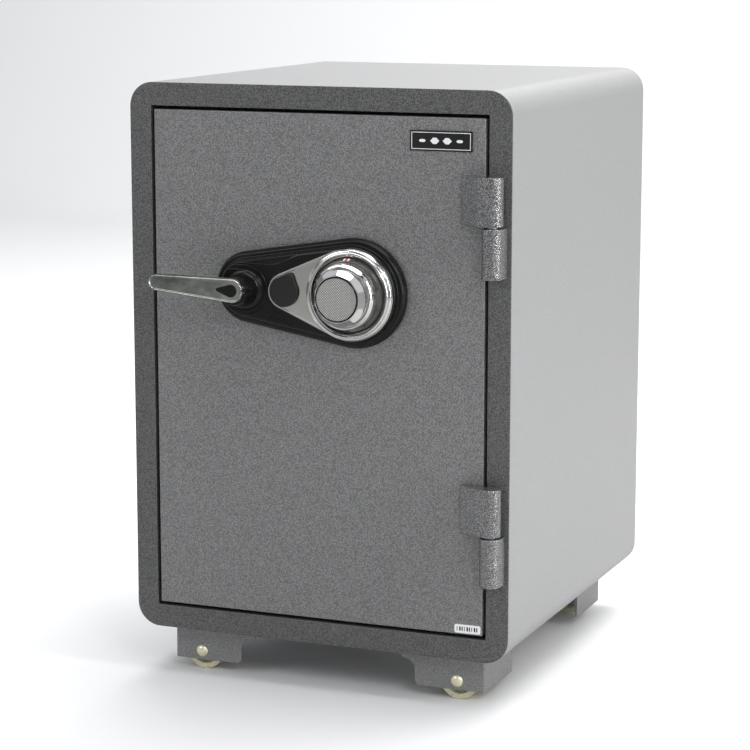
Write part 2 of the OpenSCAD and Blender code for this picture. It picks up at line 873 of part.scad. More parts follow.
module lock_cover() {
  color(zinc) placed() difference() {
    plate(case_back_y, case_back_y + lock_cover_t)
      translate([case_x0, case_z0]) square([case_x1 - case_x0, case_z1 - case_z0]);
    for (at = lock_screws_at)
      rod(at[0], at[1], case_back_y - cut, case_back_y + lock_cover_t + cut, lock_screw_r);
  }
}

module lock_screws() {
  head_h = 1.5;
  head_r = 3;
  y1 = case_back_y + lock_cover_t;
  color(steel) placed() for (at = lock_screws_at) {
    rod(at[0], at[1], case_back_y - 8, y1, lock_screw_r);
    rod(at[0], at[1], y1, y1 + head_h, head_r);
  }
}

module wheel_post() {
  y0 = mech_y + case_wall;
  color(steel) placed() difference() {
    union() {
      rod(dial_x, lock_z, y0, y0 + 1.3, tumbler_hub_r);
      rod(dial_x, lock_z, y0, y0 + post_len, post_r);
    }
    rod(dial_x, lock_z, y0 - cut, y0 + post_len + cut, spindle_r + fit);
  }
}

// slides up out of the lock case into a notch of the bolt bar
module lock_bolt() {
  foot_top = lock_bolt_z + 10;
  color(zinc) placed() {
    translate([dial_x - lock_bolt_w / 2, lock_bolt_y, lock_bolt_z])
      cube([lock_bolt_w, lock_bolt_t, lock_bolt_top - lock_bolt_z]);
    translate([dial_x, lock_bolt_y, lock_bolt_z])
      cube([pivot_x + pivot_r + 2.5 - dial_x, lock_bolt_t, foot_top - lock_bolt_z]);
    rod(pivot_x, pivot_z, lock_bolt_y, lever_y + lever_t + 1, pivot_r);
  }
}

// hangs from the lock bolt beside the wheels and carries the fence across their edges
module lock_lever() {
  fence_t = 3;
  fence_h = 6;
  nose_w = 2.5;
  nose_h = 4;
  tail_x = fence_x + fence_t / 2;
  color(steel) placed() difference() {
    union() {
      plate(lever_y, lever_y + lever_t) strap(pivot_x, pivot_z, pivot_r + 1.8, tail_x, lock_z, fence_t / 2);
      translate([fence_x, tumbler_y, lock_z - fence_h / 2])
        cube([fence_t, lever_y + lever_t - tumbler_y, fence_h]);
      translate([dial_x + cam_r + 2.6, lever_y + lever_t, lock_z + 8])
        cube([nose_w, cam_t + slip, nose_h]);
    }
    rod(pivot_x, pivot_z, lever_y - cut, lever_y + lever_t + cut, pivot_r + fit);
  }
}

// ---- key lock ----

module key_lock_body() {
  color(bright) placed() difference() {
    rod(-key_x, lock_z, -trim_out, key_body_y, key_body_r);
    rod(-key_x, lock_z, -trim_out - cut, key_body_y + cut, key_plug_r + fit);
  }
}

module key_plug() {
  keyway = [1.6, 7];
  keyway_d = 24;
  color(zinc) placed() difference() {
    union() {
      rod(-key_x, lock_z, 0.2 - trim_out, key_body_y, key_plug_r);
      rod(-key_x, lock_z, key_body_y, arm_y + arm_t, key_shaft_r);
    }
    translate([-key_x - keyway[0] / 2, -trim_out - cut, lock_z - keyway[1] / 2])
      cube([keyway[0], keyway_d + cut, keyway[1]]);
  }
}

// a disc with a flat, which lets the arm of the bolt bar pass or stands in one of its notches
module key_cam() {
  color(steel) placed() difference() {
    rod(-key_x, lock_z, arm_y, arm_y + arm_t, key_cam_r);
    rod(-key_x, lock_z, arm_y - cut, arm_y + arm_t + cut, key_shaft_r);
    translate([-key_x - key_cam_r - cut, arm_y - cut, lock_z + key_cam_flat])
      cube([2 * (key_cam_r + cut), arm_t + 2 * cut, key_cam_r]);
  }
}

// the flap that hangs over the keyhole
module key_cover() {
  color(black) placed() difference() {
    plate(flap_y - flap_t, flap_y) {
      translate([-key_x, lock_z]) circle(flap_r);
      translate([-key_x + cover_pivot_x, lock_z + cover_pivot_z]) circle(flap_ear_r);
      translate([-key_x, lock_z]) square([cover_pivot_x + flap_ear_r, cover_pivot_z]);
    }
    rod(-key_x + cover_pivot_x, lock_z + cover_pivot_z,
        flap_y - flap_t - cut, flap_y + cut, cover_rivet_r + fit);
  }
}

module cover_rivet() {
  head_h = 0.6;
  y0 = flap_y - flap_t - 0.2;
  color(bright) placed() {
    rod(-key_x + cover_pivot_x, lock_z + cover_pivot_z, y0, -plate_out, cover_rivet_r);
    rod(-key_x + cover_pivot_x, lock_z + cover_pivot_z, y0 - head_h, y0, cover_rivet_r + 1.2);
  }
}

outer_shell();
back_panel();
front_frame();
body_insulation();
inner_liner();
frame_seal();
shelf_rails();
shelf();
foot_front_left();
foot_front_right();
foot_rear_left();
foot_rear_right();
wheel_axles();
wheel_front_left();
wheel_front_right();
wheel_rear_left();
wheel_rear_right();
frame_knuckles();
hinge_pins();
door_skin();
door_insulation();
door_back_pan();
door_cover();
door_screws();
door_knuckles();
hinge_side_bar();
nameplate();
escutcheon();
trim_plate();
dial_bezel();
key_lock_body();
cover_rivet();
mechanism_plate();
bolt_bushes();
guide_studs();
spindle_tubes();
lock_case();
lock_cover();
lock_screws();
wheel_post();
handle_lever();
handle_inset();
handle_hub();
handle_spindle();
handle_crank();
bolt_bar();
locking_bolts();
dial_knob();
dial_ring();
knob_disc();
dial_spindle();
drive_cam();
tumbler_1();
tumbler_2();
tumbler_3();
lock_bolt();
lock_lever();
key_plug();
key_cam();
key_cover();
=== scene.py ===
from math import cos, pi, radians, sin

import bmesh
import bpy
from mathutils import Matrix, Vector


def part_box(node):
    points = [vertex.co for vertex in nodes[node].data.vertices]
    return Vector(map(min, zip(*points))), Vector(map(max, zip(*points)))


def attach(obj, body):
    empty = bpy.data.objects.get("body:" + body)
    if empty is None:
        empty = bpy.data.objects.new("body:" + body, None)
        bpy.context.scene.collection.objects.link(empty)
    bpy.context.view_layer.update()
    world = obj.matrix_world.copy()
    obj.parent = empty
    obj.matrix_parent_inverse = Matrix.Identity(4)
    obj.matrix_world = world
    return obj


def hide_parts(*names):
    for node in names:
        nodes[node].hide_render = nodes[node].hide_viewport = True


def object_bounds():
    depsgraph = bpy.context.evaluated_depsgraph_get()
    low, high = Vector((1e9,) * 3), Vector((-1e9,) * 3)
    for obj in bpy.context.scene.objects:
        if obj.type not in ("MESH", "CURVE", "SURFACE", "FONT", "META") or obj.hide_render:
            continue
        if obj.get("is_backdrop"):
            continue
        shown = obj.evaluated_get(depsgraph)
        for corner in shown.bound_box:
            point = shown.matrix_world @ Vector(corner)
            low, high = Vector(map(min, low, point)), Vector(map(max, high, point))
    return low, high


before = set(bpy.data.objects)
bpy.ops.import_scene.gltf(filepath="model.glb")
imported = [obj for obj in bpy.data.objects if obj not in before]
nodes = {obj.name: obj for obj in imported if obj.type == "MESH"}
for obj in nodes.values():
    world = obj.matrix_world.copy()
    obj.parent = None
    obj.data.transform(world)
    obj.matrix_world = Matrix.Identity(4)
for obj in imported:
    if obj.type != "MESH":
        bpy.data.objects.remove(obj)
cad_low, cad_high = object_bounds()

mm = 0.001

# ---- camera ----
# The safe is seen from its right front, a little from above, through a long lens.

camera_turn = 0.3879
camera_tilt = 0.1755
camera_reach = 2322 * mm
aim = Vector((-27.7, 33, 246.4)) * mm
level = cos(camera_tilt)
look = Vector((-sin(camera_turn) * level, cos(camera_turn) * level, -sin(camera_tilt)))
bpy.ops.object.camera_add(location=aim - look * camera_reach,
                          rotation=look.to_track_quat("-Z", "Y").to_euler())
camera = bpy.context.object
camera.data.lens = 119.2
camera.data.sensor_width = 36
camera.data.clip_end = 50
bpy.context.scene.camera = camera

# ---- studio ----
# A pale floor that curves up into a backdrop, painted darker only where a reflection sees it: a painted
# dark reflection in the metal. A large soft light hangs over the top, weaker ones stand at the right and in
# front, a narrow strip lights the metal's edges, and only reflections see the room's light and dark patches.


def new_material(name, colour, metallic, roughness, **sockets):
    """A material with one shader; a socket's name is given with _ for a space."""
    material = bpy.data.materials.new(name)
    material.use_nodes = True
    shader = material.node_tree.nodes["Principled BSDF"]
    shader.inputs["Base Color"].default_value = (*colour, 1)
    shader.inputs["Metallic"].default_value = metallic
    shader.inputs["Roughness"].default_value = roughness
    for socket, value in sockets.items():
        shader.inputs[socket.replace("_", " ")].default_value = value
    return material


def add_node(material, kind, **inputs):
    """A node of that kind with its inputs set; an input's name is given with _ for a space."""
    node = material.node_tree.nodes.new(kind)
    for name, value in inputs.items():
        node.inputs[name.replace("_", " ")].default_value = value
    return node


def join(material, start, end):
    material.node_tree.links.new(start, end)


def shades(material, factor, *stops):
    """A ramp of (place, colour) stops, read with a factor from 0 to 1; returns the ramp's colour."""
    ramp = material.node_tree.nodes.new("ShaderNodeValToRGB")
    while len(ramp.color_ramp.elements) < len(stops):
        ramp.color_ramp.elements.new(1)
    for element, (place, colour) in zip(ramp.color_ramp.elements, stops):
        element.position = place
        element.color = (*colour, 1)
    join(material, factor, ramp.inputs["Fac"])
    return ramp.outputs["Color"]


def shader_input(material, name):
    return material.node_tree.nodes["Principled BSDF"].inputs[name]


def object_place(material):
    """The place of a point on the object, which patterns are laid out by."""
    return add_node(material, "ShaderNodeTexCoord").outputs["Object"]


def raise_surface(material, height, depth):
    """Bumps the surface by a height from 0 to 1 over a depth in metres."""
    bump = add_node(material, "ShaderNodeBump", Strength=1, Distance=depth)
    join(material, height, bump.inputs["Height"])
    join(material, bump.outputs["Normal"], shader_input(material, "Normal"))


bpy.ops.mesh.primitive_plane_add(size=24, location=(0, -9, 0))
floor = bpy.context.object
floor.name = "studio_floor"
bpy.ops.object.transform_apply()
bpy.ops.object.mode_set(mode="EDIT")
bpy.ops.mesh.select_mode(type="EDGE")
sheet = bmesh.from_edit_mesh(floor.data)
for edge in sheet.edges:
    edge.select_set(all(v.co.y > 0 for v in edge.verts))
sheet.select_flush_mode()
bmesh.update_edit_mesh(floor.data)
cove_steps = 16
cove_step = 0.08
backdrop_h = 5
for i in range(cove_steps):
    rise = (i + 0.5) * pi / 2 / cove_steps
    bpy.ops.mesh.extrude_region_move(
        TRANSFORM_OT_translate={"value": (0, cove_step * cos(rise), cove_step * sin(rise))})
bpy.ops.mesh.extrude_region_move(TRANSFORM_OT_translate={"value": (0, 0, backdrop_h)})
bpy.ops.object.mode_set(mode="OBJECT")
bpy.ops.object.shade_smooth_by_angle(angle=radians(30))
floor_paint = new_material("floor_paint", (0.86, 0.86, 0.86), 0, 0.6)
grain = add_node(floor_paint, "ShaderNodeTexNoise", Scale=3)
join(floor_paint, object_place(floor_paint), grain.inputs["Vector"])
join(floor_paint, shades(floor_paint, grain.outputs["Fac"], (0.3, (0.55,) * 3), (0.7, (0.65,) * 3)),
     shader_input(floor_paint, "Roughness"))
# Painted dark reflection: seen by glossy rays, the floor's colour drops to a darker grey.
mirrored = add_node(floor_paint, "ShaderNodeLightPath").outputs["Is Glossy Ray"]
join(floor_paint, shades(floor_paint, mirrored, (0, (0.82,) * 3), (1, (0.42,) * 3)),
     shader_input(floor_paint, "Base Color"))
floor.data.materials.append(floor_paint)
floor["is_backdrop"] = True

middle = (cad_low + cad_high) / 2


def soft_light(name, place, size, power, aim_at=middle):
    """A softbox at a place, turned towards a point; its size is the width and the height."""
    bpy.ops.object.light_add(type="AREA", location=place,
                             rotation=(aim_at - place).to_track_quat("-Z", "Y").to_euler())
    light = bpy.context.object
    light.name = name
    light.data.shape = "RECTANGLE"
    light.data.size, light.data.size_y = size
    light.data.energy = power


soft_light("top_softbox", Vector((0.3, 0.5, 2.2)), (2.4, 2.4), 60)
soft_light("side_softbox", Vector((2.1, 0.9, 0.9)), (1.8, 2.0), 4.5)
soft_light("backdrop_light", Vector((0, 1.2, 3)), (3, 1), 84, Vector((0, 3.4, 0.6)))
soft_light("front_fill", Vector((-1.5, -2.1, 1.7)), (1.2, 1.2), 12)
soft_light("front_key", Vector((1.35, -1.7, 1.5)), (0.7, 0.7), 13)
soft_light("edge_strip", Vector((1.9, -0.45, 0.9)), (0.12, 1.6), 16)

world = bpy.data.worlds.new("studio_air")
world.use_nodes = True
air = world.node_tree.nodes["Background"].inputs
air["Strength"].default_value = 0.35
room = add_node(world, "ShaderNodeTexNoise", Scale=2.4, Detail=1)
join(world, add_node(world, "ShaderNodeTexCoord").outputs["Generated"], room.inputs["Vector"])
seen = add_node(world, "ShaderNodeMix")
seen.data_type = "RGBA"
seen.inputs["B"].default_value = (0.93, 0.95, 1, 1)
join(world, add_node(world, "ShaderNodeLightPath").outputs["Is Camera Ray"], seen.inputs["Factor"])
join(world, shades(world, room.outputs["Fac"], (0.46, (0.06, 0.06, 0.06)), (0.54, (1.8, 1.85, 1.95))),
     seen.inputs["A"])
join(world, seen.outputs["Result"], air["Color"])
bpy.context.scene.world = world
bpy.context.scene.view_settings.view_transform = "Standard"

# ---- outer shell ----
# One steel sheet wrapped round the body, bent at its four long edges and baked in grey hammer paint.

corner_r = 21 * mm
sheet_t = 1.5 * mm


def put_down():
    """Leaves edit mode, with nothing selected."""
    if bpy.context.object and bpy.context.object.mode == "EDIT":
        bpy.ops.object.mode_set(mode="OBJECT")
    bpy.ops.object.select_all(action="DESELECT")


def block(name, low, high):
    """A box between two corners, left in edit mode."""
    put_down()
    bpy.ops.mesh.primitive_cube_add(size=1, location=(low + high) / 2, scale=high - low)
    piece = bpy.context.object
    piece.name = name
    bpy.ops.object.transform_apply()
    bpy.ops.object.mode_set(mode="EDIT")
    return piece


def pick(piece, kind, test):
    """Selects, in edit mode, the faces, edges or points that pass the test, and nothing else."""
    bpy.ops.mesh.select_all(action="DESELECT")
    bpy.ops.mesh.select_mode(type=kind)
    mesh = bmesh.from_edit_mesh(piece.data)
    mesh.normal_update()
    for part in {"FACE": mesh.faces, "EDGE": mesh.edges, "VERT": mesh.verts}[kind]:
        if test(part):
            part.select_set(True)
    mesh.select_flush_mode()
    bmesh.update_edit_mesh(piece.data)


def facing(axis, way):
    """A test for faces that look along an axis, 0 to 2 for x to z, way being 1 or -1."""
    return lambda face: face.normal[axis] * way > 0.99


def along(axis):
    """A test for straight edges that run along an axis."""
    return lambda edge: abs((edge.verts[0].co - edge.verts[1].co).normalized()[axis]) > 0.999


def thicken(piece, thickness, even=True):
    """Gives a shell its sheet thickness, inwards from the drawn surface."""
    wall = piece.modifiers.new("wall", "SOLIDIFY")
    wall.thickness = thickness
    wall.offset = -1
    wall.use_even_offset = even


def soften(piece, width, segments=2, angle=35):
    """Rounds every sharp edge."""
    bevel = piece.modifiers.new("soft_edges", "BEVEL")
    bevel.width = width
    bevel.segments = segments
    bevel.limit_method = "ANGLE"
    bevel.angle_limit = radians(angle)
    bevel.miter_outer = "MITER_ARC"


def complete(piece, material, angle=32):
    """Leaves edit mode, applies the modifiers, shades the curves smooth and paints the piece."""
    put_down()
    piece.select_set(True)
    bpy.context.view_layer.objects.active = piece
    for modifier in list(piece.modifiers):
        bpy.ops.object.modifier_apply(modifier=modifier.name)
    bpy.ops.object.shade_smooth_by_angle(angle=radians(angle))
    flat = piece.modifiers.new("flat_faces_stay_flat", "WEIGHTED_NORMAL")
    flat.keep_sharp = True
    bpy.ops.object.modifier_apply(modifier=flat.name)
    piece.data.materials.clear()
    piece.data.materials.append(material)


def hammer_paint(name, light, dark, metallic, roughness, relief):
    """Baked hammer finish: shallow cells, lighter in the middle, that close over each other at random."""
    material = new_material(name, light, metallic, roughness, Coat_Weight=0.25, Coat_Roughness=0.3)
    place = object_place(material)
    drift = add_node(material, "ShaderNodeTexNoise", Scale=300, Detail=1)
    join(material, place, drift.inputs["Vector"])
    drift_by = 0.0014
    moved = add_node(material, "ShaderNodeVectorMath")
    moved.operation = "MULTIPLY_ADD"
    moved.inputs[1].default_value = (drift_by,) * 3
    join(material, drift.outputs["Color"], moved.inputs[0])
    join(material, place, moved.inputs[2])
    cells = add_node(material, "ShaderNodeTexVoronoi", Scale=920)
    cells.feature = "SMOOTH_F1"
    cells.inputs["Smoothness"].default_value = 0.4
    join(material, moved.outputs["Vector"], cells.inputs["Vector"])
    join(material, shades(material, cells.outputs["Distance"], (0.12, light), (0.62, dark)),
         shader_input(material, "Base Color"))
    depth = shades(material, cells.outputs["Distance"], (0.05, (1, 1, 1)), (0.75, (0, 0, 0)))
    raise_surface(material, depth, relief)
    return material


# The shell wears the frame's paint; this copy is painted lighter, painted light of the softboxes on its side
# and top.
shell_paint = hammer_paint("shell_paint", (0.385, 0.385, 0.385), (0.32, 0.32, 0.32), 0.25, 0.45, 0.08 * mm)
bend_steps = 12
low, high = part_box("outer_shell")
shell = block("shell_wrap", low, high)
pick(shell, "EDGE", along(1))
bpy.ops.mesh.bevel(offset=corner_r, offset_type="OFFSET", segments=bend_steps)
pick(shell, "FACE", lambda face: abs(face.normal.y) > 0.99)
bpy.ops.mesh.delete(type="FACE")
thicken(shell, sheet_t)
soften(shell, 0.35 * mm)
complete(shell, shell_paint)
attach(shell, "body")
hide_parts("outer_shell")

# ---- back panel ----
# A sheet let into the rear of the shell, with a shallow pressed field that keeps it from drumming.

low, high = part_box("back_panel")
back_rim = 15 * mm
field_slope = 2.5 * mm
field_d = 0.9 * mm
back = block("back_sheet", low, high)
pick(back, "EDGE", along(1))
bpy.ops.mesh.bevel(offset=corner_r - sheet_t, offset_type="OFFSET", segments=bend_steps)
pick(back, "FACE", facing(1, 1))
bpy.ops.mesh.inset(thickness=back_rim)
bpy.ops.mesh.inset(thickness=field_slope, depth=-field_d)
soften(back, 0.3 * mm, angle=15)
complete(back, shell_paint)
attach(back, "body")
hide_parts("back_panel")

# ---- front frame ----
# A folded and welded steel surround: the rim round the door, the ledge with the seal, and the jamb that
# the bolts lock behind. It is welded to the shell, and its corners are ground round.


def span(piece):
    """The middle and the size of what is selected."""
    points = [v.co for v in bmesh.from_edit_mesh(piece.data).verts if v.select]
    lowest = Vector([min(p[i] for p in points) for i in range(3)])
    highest = Vector([max(p[i] for p in points) for i in range(3)])
    return (lowest + highest) / 2, highest - lowest


def draw(piece, depth, narrower=0):
    """Extrudes the selected outline along y by a depth, and brings each of its four sides in."""
    bpy.ops.mesh.extrude_region_move(TRANSFORM_OT_translate={"value": (0, depth, 0)})
    if narrower:
        centre, size = span(piece)
        bpy.ops.transform.resize(value=(1 - 2 * narrower / size.x, 1, 1 - 2 * narrower / size.z),
                                 center_override=centre)


frame_paint = hammer_paint("frame_paint", (0.19, 0.19, 0.19), (0.075, 0.075, 0.075), 0.35, 0.4, 0.22 * mm)
rim_w = 20 * mm
jamb_in = 39 * mm
cavity_in = 26.5 * mm
wall_t = 55 * mm
jamb_d = 22 * mm
frame_low, frame_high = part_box("front_frame")
face_y = frame_low.y
ledge_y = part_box("frame_seal")[1].y
surround = block("door_surround", frame_low, frame_high)
pick(surround, "EDGE", along(1))
bpy.ops.mesh.bevel(offset=corner_r, offset_type="OFFSET", segments=bend_steps)
pick(surround, "FACE", lambda face: face.normal.y > -0.99)
bpy.ops.mesh.delete(type="FACE")
pick(surround, "FACE", facing(1, -1))
bpy.ops.mesh.inset(thickness=rim_w)
draw(surround, ledge_y - face_y)
draw(surround, 0, jamb_in - rim_w)
draw(surround, sheet_t + jamb_d)
draw(surround, 0, cavity_in - jamb_in)
draw(surround, frame_high.y - ledge_y - 2 * sheet_t - jamb_d)
draw(surround, 0, wall_t - cavity_in)
bpy.ops.mesh.delete(type="FACE")
bpy.ops.mesh.select_all(action="SELECT")
thicken(surround, sheet_t, even=False)
soften(surround, 0.55 * mm, 3)
complete(surround, frame_paint)
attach(surround, "body")
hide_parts("front_frame")

# ---- lining, insulation, seal and shelf ----
# A welded sheet box lines the interior. Foamed concrete fills the wall round it and sets to a chalky grey.
# A rubber strip is glued round the ledge, and a lipped steel shelf lies on two rails.


def paint_node(name, material):
    """Gives a CAD piece that keeps its own mesh its finish."""
    nodes[name].data.materials.clear()
    nodes[name].data.materials.append(material)


def mottled(name, light, dark, metallic, roughness, scale, relief, **sockets):
    """A finish whose colour and surface drift a little over the piece."""
    material = new_material(name, light, metallic, roughness, **sockets)
    cloud = add_node(material, "ShaderNodeTexNoise", Scale=scale, Detail=4, Roughness=0.6)
    join(material, object_place(material), cloud.inputs["Vector"])
    join(material, shades(material, cloud.outputs["Fac"], (0.3, dark), (0.7, light)),
         shader_input(material, "Base Color"))
    dull, polished = (roughness * 1.2,) * 3, (roughness * 0.85,) * 3
    join(material, shades(material, cloud.outputs["Fac"], (0.3, dull), (0.7, polished)),
         shader_input(material, "Roughness"))
    raise_surface(material, cloud.outputs["Fac"], relief)
    return material


lining_paint = hammer_paint("lining_paint", (0.42, 0.42, 0.42), (0.34, 0.34, 0.34), 0.2, 0.5, 0.08 * mm)
filling = mottled("foamed_concrete", (0.62, 0.6, 0.55), (0.45, 0.43, 0.39), 0, 0.9, 180, 0.6 * mm)
seal_rubber = mottled("seal_rubber", (0.022, 0.022, 0.022), (0.014, 0.014, 0.014), 0, 0.62, 500, 0.1 * mm)
bare_steel = mottled("bare_steel", (0.56, 0.57, 0.58), (0.43, 0.44, 0.45), 1, 0.34, 260, 0.02 * mm)
paint_node("inner_liner", lining_paint)
paint_node("body_insulation", filling)
paint_node("shelf_rails", bare_steel)

low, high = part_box("frame_seal")
seal_w = 10 * mm
seal_land = 2 * mm
groove_w, groove_d = 0.6 * mm, 0.5 * mm
seal = block("door_seal_strip", low, high)
pick(seal, "FACE", lambda face: abs(face.normal.y) < 0.5 or face.normal.y > 0.5)
bpy.ops.mesh.delete(type="FACE")
pick(seal, "FACE", facing(1, -1))
bpy.ops.mesh.inset(thickness=seal_w)
bpy.ops.mesh.delete(type="FACE")
bpy.ops.mesh.select_all(action="SELECT")
for _ in range(2):
    bpy.ops.mesh.inset(thickness=seal_land, use_boundary=True)
    bpy.ops.mesh.inset(thickness=groove_w, depth=-groove_d, use_boundary=True)
bpy.ops.mesh.select_all(action="SELECT")
thicken(seal, high.y - low.y, even=False)
complete(seal, seal_rubber)
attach(seal, "body")
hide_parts("frame_seal")

low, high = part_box("shelf")
shelf_t = 1.6 * mm
board = block("shelf_board", Vector((low.x, low.y, high.z - shelf_t)), high)
pick(board, "FACE", facing(2, -1))
bpy.ops.mesh.bisect(plane_co=(0, low.y + shelf_t, 0), plane_no=(0, 1, 0))
pick(board, "FACE", lambda face: face.normal.z < -0.99 and face.calc_center_median().y < low.y + shelf_t)
bpy.ops.mesh.extrude_region_move(TRANSFORM_OT_translate={"value": (0, 0, low.z - high.z + shelf_t)})
bpy.ops.mesh.select_all(action="SELECT")
bpy.ops.mesh.remove_doubles(threshold=0.01 * mm)
soften(board, 0.5 * mm)
complete(board, lining_paint)
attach(board, "body")
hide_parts("shelf")

# ---- feet ----
# Four brackets of bent sheet, painted with the body and screwed under it. The front plate ends in a coved
# lip, and the bend between front and side is rounded.


def copy_of(node, name):
    """A copy of a CAD piece with its points merged and its flat faces whole again, left in edit mode."""
    put_down()
    piece = bpy.data.objects.new(name, nodes[node].data.copy())
    bpy.context.scene.collection.objects.link(piece)
    bpy.context.view_layer.objects.active = piece
    piece.select_set(True)
    bpy.ops.mesh.customdata_custom_splitnormals_clear()
    bpy.ops.object.mode_set(mode="EDIT")
    bpy.ops.mesh.select_all(action="SELECT")
    bpy.ops.mesh.remove_doubles(threshold=0.01 * mm)
    bpy.ops.mesh.dissolve_limited(angle_limit=radians(0.5))
    return piece


foot_paint = hammer_paint("foot_paint", (0.34, 0.34, 0.34), (0.18, 0.18, 0.18), 0.3, 0.42, 0.15 * mm)
bend_r = 2.6 * mm
for side in ("left", "right"):
    for end in ("front", "rear"):
        node = f"foot_{end}_{side}"
        low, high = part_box(node)
        outer_x = high.x if side == "right" else low.x
        outer_y = low.y if end == "front" else high.y
        foot = copy_of(node, f"bracket_{end}_{side}")
        pick(foot, "EDGE", lambda edge: along(2)(edge) and all(
            abs(v.co.x - outer_x) < 0.1 * mm and abs(v.co.y - outer_y) < 0.1 * mm for v in edge.verts))
        bpy.ops.mesh.bevel(offset=bend_r, offset_type="OFFSET", segments=5)
        soften(foot, 0.35 * mm)
        complete(foot, foot_paint)
        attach(foot, "body")
        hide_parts(node)

# ---- wheels and their axles ----
# Turned steel rollers with a dished face and a hub, plated in pale yellow zinc, each on a riveted axle.


def turn(name, x, z, outline, steps=64, closed=False):
    """Spins an outline of (radius, y) points about the line along y through x and z."""
    put_down()
    bpy.ops.mesh.primitive_plane_add(size=1, location=(x + outline[0][0], outline[0][1], z))
    piece = bpy.context.object
    piece.name = name
    bpy.ops.object.transform_apply()
    bpy.ops.object.mode_set(mode="EDIT")
    bpy.ops.mesh.select_mode(type="VERT")
    bpy.ops.mesh.merge(type="CENTER")
    for (r0, y0), (r1, y1) in zip(outline, outline[1:]):
        bpy.ops.mesh.extrude_vertices_move(TRANSFORM_OT_translate={"value": (r1 - r0, y1 - y0, 0)})
    if closed:
        ends = (outline[0], outline[-1])
        pick(piece, "VERT", lambda v: any(
            abs(v.co.x - x - r) < 1e-6 and abs(v.co.y - y) < 1e-6 for r, y in ends))
        bpy.ops.mesh.edge_face_add()
    bpy.ops.mesh.select_all(action="SELECT")
    bpy.ops.mesh.spin(steps=steps, angle=2 * pi, center=(x, 0, z), axis=(0, 1, 0))
    bpy.ops.mesh.select_all(action="SELECT")
    bpy.ops.mesh.remove_doubles(threshold=0.005 * mm)
    bpy.ops.mesh.normals_make_consistent(inside=False)
    return piece


zinc = mottled("yellow_zinc", (0.95, 0.92, 0.7), (0.88, 0.83, 0.58), 0.6, 0.3, 90, 0.02 * mm)
bore_r = 4.1 * mm
hub_r = 8 * mm
hub_proud = 3 * mm
dish = 7 * mm
dish_r = 13 * mm
wheel_r = 18 * mm
ease = 0.8 * mm
for side in ("left", "right"):
    for end in ("front", "rear"):
        node = f"wheel_{end}_{side}"
        low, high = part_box(node)
        hub_0, hub_1 = low.y, high.y
        tread_0, tread_1 = low.y + hub_proud, high.y - hub_proud
        roller = turn(f"roller_{end}_{side}", (low.x + high.x) / 2, (low.z + high.z) / 2, [
            (bore_r, hub_0), (hub_r - ease, hub_0), (hub_r, hub_0 + ease),
            (hub_r + 0.4 * mm, tread_0 + dish - 1 * mm), (hub_r + 1.4 * mm, tread_0 + dish),
            (dish_r - 1 * mm, tread_0 + dish), (dish_r, tread_0 + dish - 1 * mm),
            (dish_r + 0.2 * mm, tread_0 + 0.2 * mm), (dish_r + 0.7 * mm, tread_0),
            (wheel_r - ease, tread_0), (wheel_r - 0.2 * mm, tread_0 + 0.2 * mm),
            (wheel_r, tread_0 + ease), (wheel_r, tread_1 - ease),
            (wheel_r - 0.2 * mm, tread_1 - 0.2 * mm), (wheel_r - ease, tread_1),
            (dish_r + 1.2 * mm, tread_1), (dish_r, tread_1 - 0.5 * mm), (dish_r, tread_1 - dish),
            (hub_r + 0.6 * mm, tread_1 - dish), (hub_r, hub_1 - ease), (hub_r - ease, hub_1),
            (bore_r, hub_1)], steps=96, closed=True)
        complete(roller, zinc)
        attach(roller, f"castor_{end}_{side}")
        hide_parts(node)

shank_r = 4 * mm
rivet_r = 5.5 * mm
rivet_h = 2.5 * mm
axle_len = 30 * mm
for side in ("left", "right"):
    for end in ("front", "rear"):
        low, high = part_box(f"wheel_{end}_{side}")
        x, z = (low.x + high.x) / 2, (low.z + high.z) / 2
        foot_low, foot_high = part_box(f"foot_{end}_{side}")
        outer = foot_low.y if end == "front" else foot_high.y
        way = 1 if end == "front" else -1
        inner = outer + way * axle_len
        axle = turn(f"axle_{end}_{side}", x, z, [
            (0, outer - way * rivet_h), (2 * mm, outer - way * 2.4 * mm),
            (3.8 * mm, outer - way * 1.8 * mm), (5 * mm, outer - way * 0.9 * mm),
            (rivet_r, outer - way * 0.1 * mm), (rivet_r, outer), (shank_r, outer), (shank_r, inner),
            (rivet_r, inner), (5 * mm, inner + way * 1.4 * mm), (3 * mm, inner + way * 2.3 * mm),
            (0, inner + way * rivet_h)], steps=48)
        complete(axle, zinc)
        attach(axle, "body")
        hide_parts("wheel_axles")

# ---- hinges ----
# Two lift-off hinges of heavy steel: the upper knuckle is welded to the door by a wedge-shaped leaf, the
# lower one to the frame, and a steel pin stands in the lower one. They are painted a lighter silver.

hinge_paint = hammer_paint("hinge_paint", (0.52, 0.52, 0.52), (0.16, 0.16, 0.16), 0.8, 0.22, 0.2 * mm)
pin_low, pin_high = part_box("hinge_pins")
pin_x = (pin_low.x + pin_high.x) / 2
pin_y = (pin_low.y + pin_high.y) / 2
leaf_corner_x = pin_x - 11.5 * mm
leaf_corner_y = pin_y - 5.5 * mm
for node, body, name in (("door_knuckles", "door", "door_hinge_halves"),
                         ("frame_knuckles", "body", "frame_hinge_halves")):
    halves = copy_of(node, name)
    pick(halves, "EDGE", lambda edge: along(2)(edge) and all(
        abs(v.co.x - leaf_corner_x) < 0.3 * mm and abs(v.co.y - leaf_corner_y) < 0.3 * mm
        for v in edge.verts))
    if node == "door_knuckles":
        bpy.ops.mesh.bevel(offset=1.2 * mm, offset_type="OFFSET", segments=4)
    soften(halves, 0.6 * mm, 3)
    complete(halves, hinge_paint)
    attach(halves, body)
    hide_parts(node)
paint_node("hinge_pins", bare_steel)

# ---- door ----
# A folded pan of sheet steel, painted lighter than the frame, filled with foamed concrete. Its rear carries
# the plug: a pan that holds the mechanism behind a cover held on by six screws.

